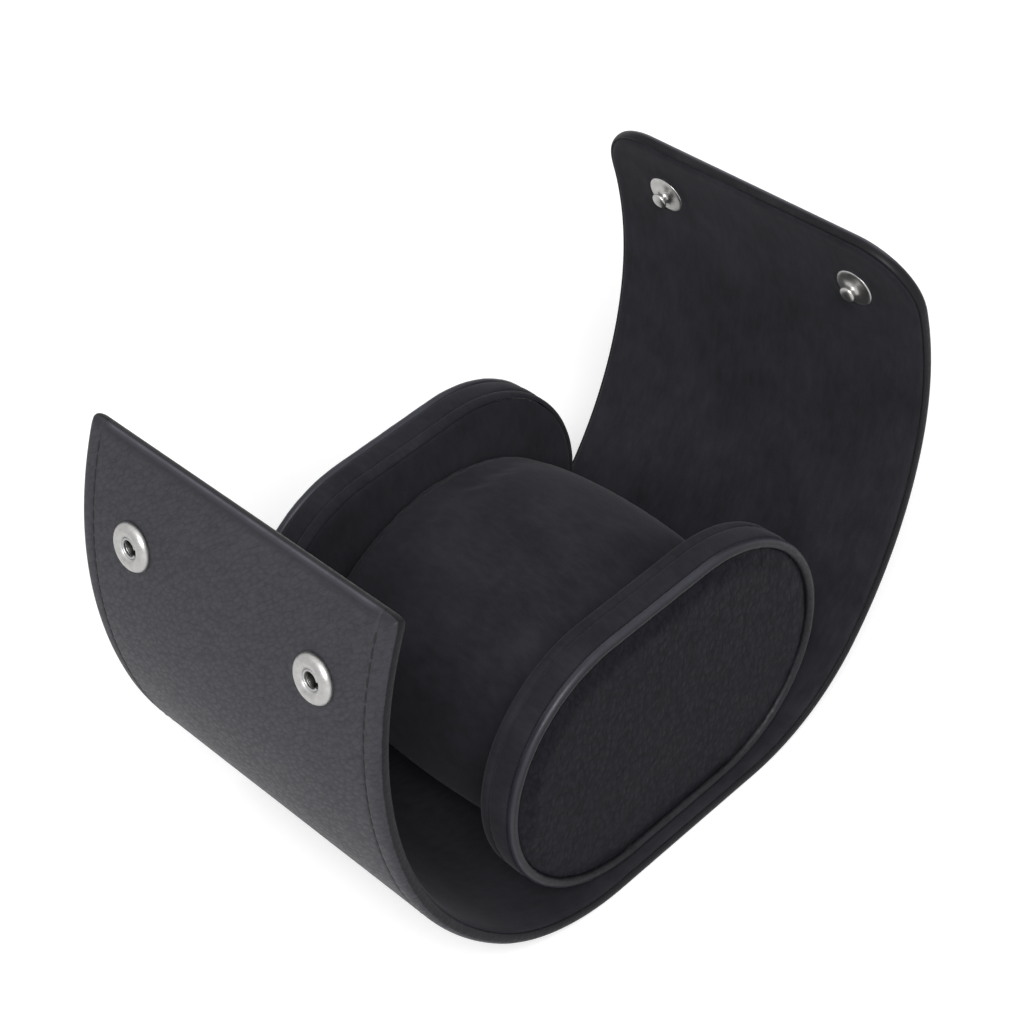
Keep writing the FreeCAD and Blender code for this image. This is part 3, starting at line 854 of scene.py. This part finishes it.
straight = np.linspace(-1, 1, PANEL_STRAIGHT_STEPS, endpoint=False)
arc = np.linspace(-0.5, 0.5, PANEL_ARC_STEPS, endpoint=False) * math.pi
outline_y = np.concatenate([
    straight * PANEL_HALF_STRAIGHT, np.full(PANEL_ARC_STEPS, PANEL_HALF_STRAIGHT),
    -straight * PANEL_HALF_STRAIGHT, np.full(PANEL_ARC_STEPS, -PANEL_HALF_STRAIGHT),
])
outline_turn = np.concatenate([
    np.full(PANEL_STRAIGHT_STEPS, -math.pi / 2), arc,
    np.full(PANEL_STRAIGHT_STEPS, math.pi / 2), arc + math.pi,
])
OUT_Y, OUT_Z = np.cos(outline_turn), np.sin(outline_turn)
steps_round = np.hypot(
    np.diff(outline_y + OUT_Y * PANEL_RADIUS, append=outline_y[0] + OUT_Y[0] * PANEL_RADIUS),
    np.diff(OUT_Z * PANEL_RADIUS, append=OUT_Z[0] * PANEL_RADIUS),
)
ROUND = np.concatenate([[0.0], np.cumsum(steps_round)[:-1]])   # distance round the panel
GIRTH = float(np.sum(steps_round))


def panel_row(x, inset):
    """Points round the end panel's outline at x and an inset, which may change round it."""
    radius = PANEL_RADIUS - inset + 0 * ROUND
    return np.stack([x + 0 * ROUND, outline_y + OUT_Y * radius, PANEL_LEVEL + OUT_Z * radius], axis=-1)


def panel_sweep(path, closed):
    """Surface swept round the panel from (x, inset) pairs: a ring, or a disc from middle to middle."""
    rows = [panel_row(x, inset) for x, inset in path]
    return np.concatenate(rows), bridge(row_numbers(rows), True, closed)


# Sections of the end panel's layers as (x, inset from the outline)
FACE_FORM = (
    (39.3, 31.0), (39.3, 24.0), (39.3, 16.0), (39.3, 9.0), (39.36, 5.5), (39.42, 4.0), (39.44, 3.0),
    (39.36, 2.2), (39.0, 1.6), (38.3, 1.4), (37.62, 1.7), (37.62, 3.6), (37.62, 10.0), (37.62, 20.0),
    (37.62, 31.0),
)
PIPING_FLANGE = ((37.66, 1.0), (37.66, 4.6), (37.84, 4.6), (37.84, 1.0))
LINING_FORM = (
    (30.62, 31.0), (30.62, 14.0), (30.62, 4.0), (30.66, 2.6), (30.78, 1.85), (31.0, 1.4), (31.25, 1.3),
    (31.45, 1.5), (31.5, 2.2), (31.5, 31.0),
)
FOAM_FORM = (
    (31.56, 31.0), (31.56, 2.6), (31.7, 1.8), (32.1, 1.35), (32.8, 1.2), (34.4, 1.2), (35.0, 1.35),
    (35.42, 1.8), (35.56, 2.6), (35.56, 31.0),
)
BAND_OUTSIDE = (
    (37.86, 0.62), (37.7, 0.34), (37.4, 0.12), (36.9, 0.0), (36.0, -0.08), (35.2, -0.08), (34.4, -0.03),
    (33.9, 0.06), (33.6, 0.18), (33.4, 0.36), (33.25, 0.56), (33.1, 0.42), (32.95, 0.24), (32.7, 0.1),
    (32.3, 0.02), (31.8, 0.04), (31.35, 0.16), (31.0, 0.36), (30.78, 0.62), (30.72, 0.88),
)
BAND_INSIDE = ((30.85, 0.97), (32.0, 0.97), (34.0, 0.97), (36.5, 0.97), (37.62, 0.98))
BAND_SEAM = 33.25
PUCKER_PITCH, PUCKER_DEPTH = 3.0, 0.06
PIPING_X, PIPING_INSET, PIPING_R = 38.86, 1.1, 1.06

face_points, face_faces = panel_sweep(FACE_FORM, False)


def face_pinned(points):
    return points[:, 0] < FACE_HELD


padded_face = inflate(
    face_points, face_faces, voxel=0.95, smoothing=3, pressure=4.0, cap=0.75, pinned=face_pinned
)

for panel_name, sign in (("left_panel", -1), ("right_panel", 1)):
    mirror = np.array([sign, 1, 1])

    def settle(part, points, faces, material, slot, grain, padding=None, **marks):
        made = piece(panel_name + "_" + part, points * mirror, faces, [material], slot, grain, **marks)
        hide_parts(panel_name + "_" + part)
        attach(made, "base")

    shape, shape_faces = padded_face
    rim = np.clip((RIM_FROM - shape[:, 0]) / RIM_FADE, 0, 1)
    settle("face", shape, shape_faces, shaded_panel_leather, "pebbled_leather", shape[:, [1, 2, 0]], 0.8, edge=rim)

    pucker = PUCKER_DEPTH * np.sin(2 * math.pi * ROUND / (GIRTH / round(GIRTH / PUCKER_PITCH)))
    band_rows = []
    for x, inset in BAND_OUTSIDE:
        pull = math.exp(-(((x - BAND_SEAM) / 0.9) ** 2))
        band_rows.append(panel_row(x, inset + pull * pucker))
    band_rows += [panel_row(x, inset) for x, inset in BAND_INSIDE]
    band_grain = np.concatenate([np.stack([ROUND, row[:, 0], 0 * ROUND], -1) for row in band_rows])
    band_faces = bridge(row_numbers(band_rows), True, True)
    settle("band", np.concatenate(band_rows), band_faces, lining_suede, "suede", band_grain)

    around = np.linspace(0, 2 * math.pi, 24, endpoint=False)
    wobble = 1 + 0.014 * np.sin(ROUND * 0.9) + 0.01 * np.sin(ROUND * 2.3 + 1)
    pipe_rows = []
    for turn in around:
        radius = PIPING_R * wobble
        x, inset = PIPING_X + radius * math.cos(turn), PIPING_INSET - radius * math.sin(turn)
        pipe_rows.append(panel_row(x, inset))
    pipe_grain = np.concatenate([
        np.stack([ROUND, 0 * ROUND + turn * PIPING_R, 0 * ROUND], -1) for turn in around
    ])
    pipe = (np.concatenate(pipe_rows), bridge(row_numbers(pipe_rows), True, True))
    flange = panel_sweep(PIPING_FLANGE, True)
    pipe_points, pipe_faces = join_shells([pipe, flange])
    pipe_grain = np.concatenate([pipe_grain, flange[0][:, [1, 2, 0]]])
    # The piping's outer flank is painted lighter, a painted highlight, and its inner flank towards the face
    # darker, painted shade in the groove.
    facing = np.concatenate([np.repeat(np.sin(around), len(ROUND)), np.zeros(len(flange[0]))])
    outer_flank_highlight = 0.85 * np.clip(0.45 + facing, 0, 1)
    dyed_inside = 0.3 * np.clip(-facing, 0, 1)
    settle(
        "piping", pipe_points, pipe_faces, piping_leather, "edge_leather", pipe_grain,
        edge=outer_flank_highlight, dye=dyed_inside,
    )

    for part, form, material, slot, padding in (
        ("lining", LINING_FORM, lining_suede, "suede", None), ("foam", FOAM_FORM, grey_foam, "foam", 1.0),
    ):
        disc, disc_faces = panel_sweep(form, False)
        settle(part, disc, disc_faces, material, slot, disc[:, [1, 2, 0]], padding)

    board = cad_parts[panel_name + "_board"]
    board.data.materials.clear()
    board.data.materials.append(panel_board)


# Pillow


def pillow_outline(share, inset):
    """The pillow's section as (y, z) rows, at a share of its half width."""
    draw = share ** 2
    half = SECTION_HALF - SIDE_DRAW * draw - inset
    level = SECTION_LOW - inset
    bottom = PILLOW_BOTTOM + inset
    rise = SECTION_HEIGHT - CROWN_DRAW * draw - SECTION_LOW - inset
    tilt = SECTION_TILT
    side_share = 1 / math.tan((math.pi / 2 - tilt) / 2)
    shoulder = (side_share * half - rise) / (side_share - math.tan(tilt / 2))
    side_radius = (half - shoulder) / (1 - math.sin(tilt))
    widest = bottom + level
    crown_radius = shoulder / math.sin(tilt)
    crown_level = widest + side_radius * math.cos(tilt) - crown_radius * math.cos(tilt)
    flat = half - level
    low = np.linspace(-math.pi / 2, 0, 14, endpoint=False)
    high = np.linspace(0, math.pi / 2 - tilt, 12, endpoint=False)
    crown = np.linspace(math.pi / 2 - tilt, math.pi / 2, 12, endpoint=False)
    y = np.concatenate([
        np.linspace(0, flat, 6, endpoint=False), flat + level * np.cos(low),
        half - side_radius + side_radius * np.cos(high), crown_radius * np.cos(crown), [0.0],
    ])
    z = np.concatenate([
        np.full(6, bottom), widest + level * np.sin(low),
        widest + side_radius * np.sin(high), crown_level + crown_radius * np.sin(crown),
        [crown_level + crown_radius],
    ])
    return np.concatenate([np.stack([y, z], -1), np.stack([-y[-2:0:-1], z[-2:0:-1]], -1)])


def pillow_form(half_width, inset):
    """Closed form drawn in towards both ends."""
    rows = []
    for share in np.linspace(-1, 1, 25):
        section = pillow_outline(share, inset)
        rows.append(np.concatenate([np.full((len(section), 1), share * half_width), section], axis=1))
    numbers = row_numbers(rows)
    return np.concatenate(rows), bridge(numbers) + [numbers[0][::-1], numbers[-1]]


def underside(points):
    return points[:, 2] < PILLOW_REST


core_points, core_faces = pillow_form(half_width=28.6, inset=-0.2)
cover, cover_faces = inflate(
    core_points, core_faces, voxel=1.2, smoothing=3, pressure=4.0, cap=1.9, pinned=underside
)
for axis, low, high in ((1, -PILLOW_HALF, PILLOW_HALF), (2, PILLOW_BOTTOM, PILLOW_TOP)):
    shape_low, shape_high = cover[:, axis].min(), cover[:, axis].max()
    cover[:, axis] = low + (cover[:, axis] - shape_low) * (high - low) / (shape_high - shape_low)
middle = np.array([0.0, 0.0, PILLOW_MIDDLE])
radial = (cover - middle) * np.array([0, 1, 1])
radial /= np.maximum(np.linalg.norm(radial, axis=1), 1e-6)[:, None]
off_seam = np.abs(cover[:, 0]) - PILLOW_SEAM
gather = SEAM_DRAW + SEAM_GATHER * np.sin(1.9 * np.arctan2(radial[:, 2], radial[:, 1]) * 17)
cover = cover - radial * (gather * np.exp(-((off_seam / SEAM_WIDTH) ** 2)))[:, None]
cover[:, 0] = np.clip(cover[:, 0], -PILLOW_END, PILLOW_END)
cover[:, 2] = np.maximum(cover[:, 2], PILLOW_BOTTOM)
pillow = piece("pillow_cover", cover, cover_faces, [pillow_suede], "pillow_suede", cover)
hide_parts("pillow_cover", "pillow_left_end", "pillow_right_end")
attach(pillow, "pillow")

filling_points, filling_faces = pillow_form(half_width=25.0, inset=4.4)
filling = piece("pillow_foam", filling_points, filling_faces, [grey_foam], "foam", filling_points)
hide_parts("pillow_foam")
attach(filling, "pillow")


# Stage

FLOOR_HALF, FLOOR_DROP = 6.0, 0.0002    # metres
FLOOR_GLOW = 0.38                       # lifts the pale floor to white for background rays
AMBIENT = 0.17


def background_ray(tree):
    """1 for rays that see the background: camera, glossy and transmission rays."""
    path = node(tree, "LightPath").outputs
    either = arithmetic(tree, "MAXIMUM", path["Is Camera Ray"], path["Is Glossy Ray"])
    return arithmetic(tree, "MAXIMUM", either, path["Is Transmission Ray"])


def floor_material():
    material = bpy.data.materials.new("floor")
    material.use_nodes = True
    tree = material.node_tree
    tree.nodes.remove(tree.nodes["Principled BSDF"])
    matte = node(tree, "BsdfDiffuse", Color=(0.82, 0.82, 0.82, 1.0))
    seen = arithmetic(tree, "MULTIPLY", background_ray(tree), FLOOR_GLOW)
    glow = node(tree, "Emission", Color=(1.0, 1.0, 1.0, 1.0), Strength=seen)
    total = node(tree, "AddShader", i0=matte.outputs[0], i1=glow.outputs[0])
    tree.links.new(total.outputs[0], tree.nodes["Material Output"].inputs["Surface"])
    return material


floor_mesh = bpy.data.meshes.new("floor")
floor_corners = [(x * FLOOR_HALF, y * FLOOR_HALF, 0) for x, y in ((-1, -1), (1, -1), (1, 1), (-1, 1))]
floor_mesh.from_pydata(floor_corners, [], [(0, 1, 2, 3)])
floor_mesh.materials.append(floor_material())
floor = bpy.data.objects.new("floor", floor_mesh)
floor.location.z = -FLOOR_DROP
scene.collection.objects.link(floor)

world = bpy.data.worlds.new("studio")
scene.world = world
world.use_nodes = True
sky = world.node_tree
backdrop = ranged(sky, background_ray(sky), 0.0, 1.0, AMBIENT, 1.0)
sky.nodes["Background"].inputs["Color"].default_value = (1.0, 1.0, 1.0, 1.0)
sky.links.new(backdrop, sky.nodes["Background"].inputs["Strength"])


def softbox(name, place, power, side):
    """Square area light aimed at the roll, in metres and watts."""
    lamp = bpy.data.lights.new(name, "AREA")
    lamp.shape = "SQUARE"
    lamp.size = side
    lamp.energy = power
    obj = bpy.data.objects.new(name, lamp)
    obj.location = place
    aim = Vector((0.0, 0.0, 0.05)) - obj.location
    obj.rotation_mode = "QUATERNION"
    obj.rotation_quaternion = aim.to_track_quat("-Z", "Y")
    scene.collection.objects.link(obj)


softbox("front", (1.36, -1.1, 1.9), power=70.0, side=1.3)
softbox("left", (-0.45, -0.35, 1.05), power=0.9, side=0.9)
softbox("behind", (0.15, 0.55, 1.0), power=1.3, side=0.9)

# Camera, fitted to the photograph
CAMERA_PLACE = (289.05, -233.44, 406.28)
CAMERA_TURN, CAMERA_RISE, CAMERA_ROLL = (math.radians(angle) for angle in (51.16, 42.49, -8.04))
right = Vector((math.cos(CAMERA_TURN), math.sin(CAMERA_TURN), 0))
away = Vector((
    math.sin(CAMERA_TURN) * math.cos(CAMERA_RISE), -math.cos(CAMERA_TURN) * math.cos(CAMERA_RISE),
    math.sin(CAMERA_RISE),
))
upright = away.cross(right)
rolled_right = right * math.cos(CAMERA_ROLL) + upright * math.sin(CAMERA_ROLL)
rolled_up = upright * math.cos(CAMERA_ROLL) - right * math.sin(CAMERA_ROLL)
lens = bpy.data.cameras.new("camera")
lens.sensor_width = 36.0
lens.lens = 89.08
lens.clip_start = 0.01
camera = bpy.data.objects.new("camera", lens)
scene.collection.objects.link(camera)
turn = Matrix((rolled_right, rolled_up, away)).transposed().to_4x4()
camera.matrix_world = Matrix.Translation(Vector(CAMERA_PLACE) * MM) @ turn
scene.camera = camera
scene.view_settings.view_transform = "Standard"
